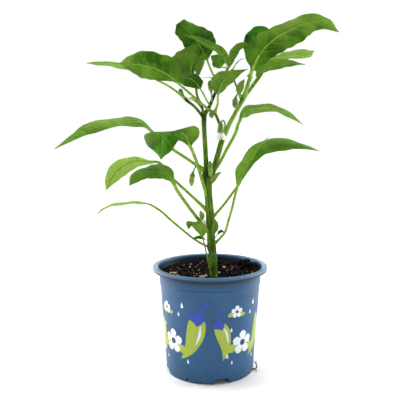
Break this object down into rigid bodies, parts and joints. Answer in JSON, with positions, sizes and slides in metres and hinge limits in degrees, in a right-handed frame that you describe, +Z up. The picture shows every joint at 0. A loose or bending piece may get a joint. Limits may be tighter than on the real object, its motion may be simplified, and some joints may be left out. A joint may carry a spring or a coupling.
{
  "type": "potted chilli pepper plant",
  "caption": "Young upright chilli pepper plant with lance-shaped leaves, buds and a first nodding flower, in a thin tapered nursery pot filled with peat.",
  "frame": {"origin": "on the ground under the middle of the whole object's box; the pot's axis stands 27.5 mm along +X from it", "axes": "+Z up along the pot's axis; -Y is the front, the side that the nodding flower faces; +X to the right seen from the front"},
  "size_m": [0.3134, 0.1337, 0.3923],
  "materials": {
    "pot_blue": "moulded polypropylene, satin steel blue",
    "peat": "dark crumbly peat with white perlite grains",
    "bark": "dry, fibrous, matte",
    "stem_green": "live green stem, ridged, satin",
    "leaf_green": "live leaf, satin upper face, paler matte underside",
    "bud_green": "live bud, satin",
    "petal_white": "soft white petal, matte",
    "stamen_yellow": "pollen-dusted, matte"
  },
  "bodies": {
    "root": {"bark_chip_left": "bark", "bark_chip_stem": "bark", "branch_d": "stem_green", "bud_cream": "bud_green", "bud_crown_dark": "bud_green", "bud_fork": "bud_green", "bud_left": "bud_green", "bud_node": "bud_green", "bud_right": "bud_green", "bud_twig": "bud_green", "crown_twig": "stem_green", "flower_calyx": "bud_green", "flower_corolla": "petal_white", "flower_stamens": "stamen_yellow", "growing_medium": "peat", "leaf_arch_left": "leaf_green", "leaf_arch_right": "leaf_green", "leaf_axil_right": "leaf_green", "leaf_basal": "leaf_green", "leaf_crown_bent": "leaf_green", "leaf_crown_bright": "leaf_green", "leaf_crown_dark": "leaf_green", "leaf_crown_fan": "leaf_green", "leaf_crown_folded": "leaf_green", "leaf_crown_front": "leaf_green", "leaf_crown_small": "leaf_green", "leaf_crown_tall": "leaf_green", "leaf_droop_front": "leaf_green", "leaf_far_left": "leaf_green", "leaf_low_left": "leaf_green", "leaf_low_left_front": "leaf_green", "leaf_low_right": "leaf_green", "leaf_low_right_narrow": "leaf_green", "leaf_lowest_left": "leaf_green", "leaf_right_curled": "leaf_green", "leaf_right_shaded": "leaf_green", "leaf_right_slim": "leaf_green", "leaf_top_left": "leaf_green", "leaf_top_right": "leaf_green", "leaflet_crown_left": "leaf_green", "leaflet_crown_right": "leaf_green", "leaflet_fork": "leaf_green", "leaflet_left_dark": "leaf_green", "leaflet_left_light": "leaf_green", "leaflet_left_small": "leaf_green", "leaflet_right_dark": "leaf_green", "leaflet_right_light": "leaf_green", "leaflet_spike": "leaf_green", "main_stem": "stem_green", "pot": "pot_blue", "right_stem": "stem_green", "root_tip": "bark", "twig_a": "stem_green", "twig_b": "stem_green", "twig_e": "stem_green"}
  },
  "joints": []
}
